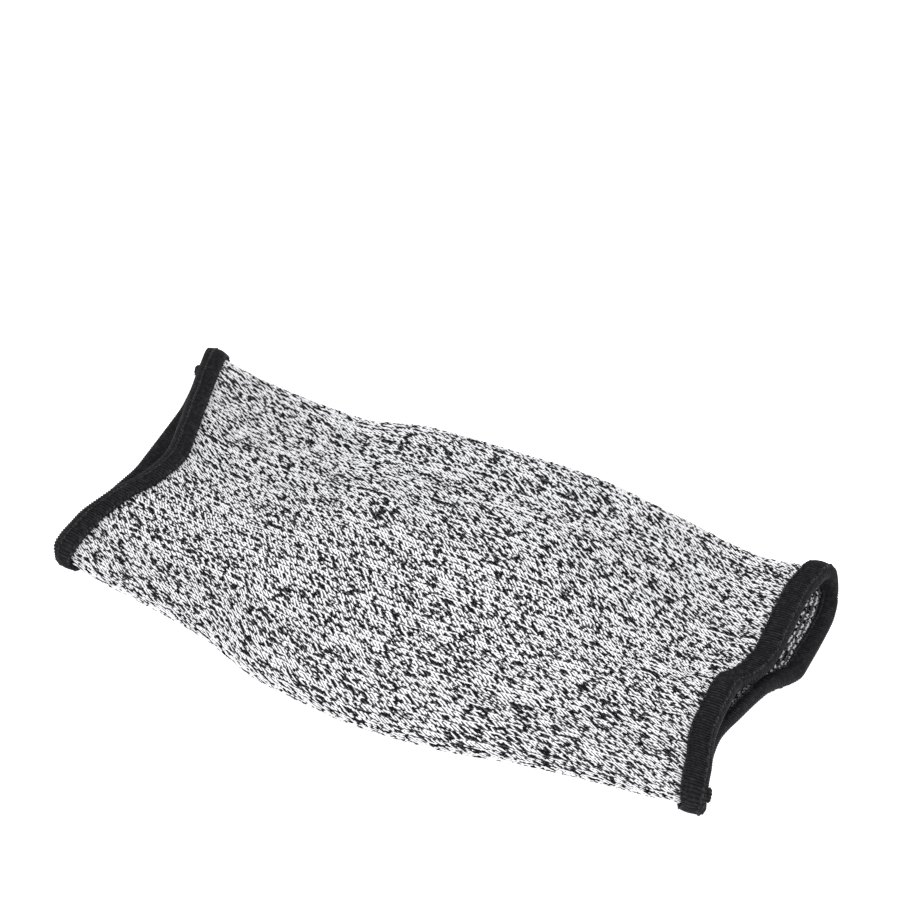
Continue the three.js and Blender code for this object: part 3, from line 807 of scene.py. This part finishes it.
for end, is_wrist in (("wrist", True), ("arm", False)):
    shares = np.arange(ROUND_POINTS) / ROUND_POINTS
    skin, outs, travelled = band_skin(is_wrist, shares)
    lining = skin - outs * BINDING_CLOTH / 2
    rings = np.concatenate([skin, lining[::-1]]).transpose(1, 0, 2)
    roll = closed_loft(f"{end}_binding_roll", rings if not is_wrist else rings[::-1], binding_black)
    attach(roll, "root")
    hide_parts(f"{end}_band")

    middle_line = skin[len(skin) // 2]
    perimeter = float(np.linalg.norm(np.roll(middle_line, -1, 0) - middle_line, axis=1).sum())
    round_shares = np.linspace(-ROUND_EXTRA, 1 + ROUND_EXTRA, BAND_COLUMNS)[:: -1 if is_wrist else 1]
    points, outs, _ = band_skin(is_wrist, round_shares)
    flat_x = round_shares * perimeter * (-1 if is_wrist else 1)
    surface = guide(f"{end} binding face", points, outs, flat_x, travelled)
    across, tip_starts = travelled[-1], travelled[len(LEG_PLACES)]
    cover = [(0.0, y, THREAD_RISE, COVER_RADIUS) for y in np.linspace(0, across, THREAD_POINTS)]
    cover = [(0.10, -0.15, -0.1, 0), *cover, (0.10, across + 0.15, -0.1, 0)]
    thread = strands("cover thread", [(0.0, cover)], flatness=1.1)
    count = round(perimeter / THREAD_PITCH)
    begin = -perimeter if is_wrist else 0.0
    laid(
        f"{end}_binding_threads", surface, Stitch=thread, Columns=count, Rows=1,
        Pitch=(perimeter / count * MM, 0, 0), Yarn_Step=across, Start=(begin * MM, 0, 0),
        Wander=0.25 * MM, Wander_Size=2 * MM, Unevenness=0.0, Seed=3, Material=overlock_black)
    loop = strands("edge loop", [
        (0.0, [(-0.80, -0.45, -0.1, 0), (-0.35, -0.05, 0.50, 0.32), (0.35, 0.25, 0.50, 0.32),
               (0.80, 0.80, -0.1, 0)]),
        (1.0, [(0.80, -0.50, -0.1, 0), (0.35, -0.20, 0.32, 0.26), (-0.20, 0.30, 0.32, 0.26),
               (-0.65, 0.90, -0.1, 0)]),
    ])
    count = round(perimeter / LOOP_PITCH)
    loop_places = {
        "outer": ROOT_INSET, "tip": tip_starts - NEEDLE_INSET[end], "inner": across - INNER_INSET,
    }
    for side, place in loop_places.items():
        laid(
            f"{end}_binding_{side}_chain", surface, Stitch=loop, Columns=count, Rows=1,
            Pitch=(perimeter / count * MM, 0, 0), Yarn_Step=2.2, Start=(begin * MM, place * MM, 0),
            Wander=0.35 * MM, Wander_Size=2 * MM, Unevenness=0.25, Seed=5, Material=chain_black)
    for helper in (surface, thread, loop):
        bpy.data.objects.remove(helper)


# Thread ends
# Where the seam of each binding closes, the ends of its threads are left as a short curl of two twisted
# strands. They lie on the tip of the binding, along the solid's own route.
THREAD_RADIUS, KNOT_LENGTH = 0.8, 4.6
STRAND_SIDES, STRAND_STEPS = 10, 70
# turns of the two strands round each other, and how far they are pressed into the binding
KNOT_TWISTS, KNOT_PRESSED = 2.6, 0.45
# a strand's distance from the middle and its radius, in thread radii
STRAND_OFFSET, STRAND_RADIUS = 0.5, 0.52
# turn round the tube, then the route: along the edge in half lengths, out and up in thread radii
THREAD_ENDS = {
    "wrist": (40, [(-1, 1, -0.4), (-0.4, 1.4, 0.4), (0.2, 1.2, 0.8), (0.9, 1.1, 0)]),
    "arm": (161, [(0.9, 1, -0.5), (0.4, 1.3, 0.2), (-0.3, 1.5, 0.8), (-0.9, 1.1, 0.9)]),
}


def route_through(points, count):
    """A smooth line through the chosen points."""
    ends = np.vstack([2 * points[0] - points[1], points, 2 * points[-1] - points[-2]])
    line = []
    for t in np.linspace(0, len(points) - 1 - 1e-6, count):
        i, s = int(t), t - int(t)
        a, b, c, d = ends[i : i + 4]
        line.append(b + 0.5 * s * (c - a + s * (2 * a - 5 * b + 4 * c - d + s * (3 * (b - c) + d - a))))
    return np.array(line)


def swept(name, lines, material):
    """Closed round strands along lines, each line with its radius at every point."""
    points, faces, uv = [], [], []
    for number, (line, radius) in enumerate(lines):
        tangent = unit(np.gradient(line, axis=0))
        side = unit(np.cross(tangent, tangent[0] + np.array([0.3, 0.2, 0.9])))
        up = np.cross(side, tangent)
        first, count = len(points), len(line)
        for i in range(count):
            for j in range(STRAND_SIDES):
                a = 2 * math.pi * j / STRAND_SIDES
                points.append(line[i] + radius[i] * (side[i] * math.cos(a) + up[i] * math.sin(a)))
        tips = len(points)
        points += [line[0] - tangent[0] * radius[0] / 2, line[-1] + tangent[-1] * radius[-1] / 2]
        for j in range(STRAND_SIDES):
            k = (j + 1) % STRAND_SIDES
            v0, v1 = (number + j / STRAND_SIDES) / len(lines), (number + (j + 1) / STRAND_SIDES) / len(lines)
            faces.append((tips, first + j, first + k))
            uv += [(0, v0), (1 / count, v0), (1 / count, v1)]
            for i in range(count - 1):
                a, b = first + i * STRAND_SIDES, first + (i + 1) * STRAND_SIDES
                faces.append((a + j, b + j, b + k, a + k))
                uv += [(i / count, v0), ((i + 1) / count, v0), ((i + 1) / count, v1), (i / count, v1)]
            last = first + (count - 1) * STRAND_SIDES
            faces.append((last + j, tips + 1, last + k))
            uv += [(1 - 1 / count, v0), (1, v0), (1 - 1 / count, v1)]
    made = link_mesh(name, placed(np.array(points)).tolist(), faces, material)
    corner_map(made.data, "OFBake", uv)
    return made


# Between the two in gloss, so that the twist of the strands shows
thread_black = black_thread("twisted black polyester thread", "#0b0b0d", "#2c2c30", 0.65)
for end, (knot_turn, route) in THREAD_ENDS.items():
    is_wrist = end == "wrist"
    turns, place = np.array([float(knot_turn)]), np.array([0.0 if is_wrist else 1.0])
    forward, up = (v[0] for v in cloth_frame(turns, place))
    around = unit((outside(turns + 0.5, place) - outside(turns - 0.5, place))[0])
    ahead = forward * (-1 if is_wrist else 1)
    seat = outside(turns, place)[0] - up * WALL / 2
    seat = seat + ahead * (TIP_REACH - KNOT_PRESSED - drawn_in(up) * COVERED * LENGTH)
    chosen = np.array([
        seat + around * aside * KNOT_LENGTH / 2 + ahead * out_by * THREAD_RADIUS + up * up_by * THREAD_RADIUS
        for aside, out_by, up_by in route
    ])
    middle = route_through(chosen, STRAND_STEPS)
    tangent = unit(np.gradient(middle, axis=0))
    aside = unit(np.cross(tangent, up))
    above = np.cross(aside, tangent)
    progress = np.linspace(0, 1, STRAND_STEPS)
    tight = np.sqrt(np.clip(1 - (2 * progress - 1) ** 6, 0.05, 1))
    lines = []
    for phase in (0, math.pi):
        angle = 2 * math.pi * KNOT_TWISTS * progress + phase
        ways = aside * np.cos(angle)[:, None] + above * np.sin(angle)[:, None]
        offset = ways * THREAD_RADIUS * STRAND_OFFSET
        lines.append((middle + offset * tight[:, None], THREAD_RADIUS * STRAND_RADIUS * tight))
    curl = swept(f"{end}_thread_end", lines, thread_black)
    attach(curl, "root")
    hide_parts(f"{end}_thread_knot")
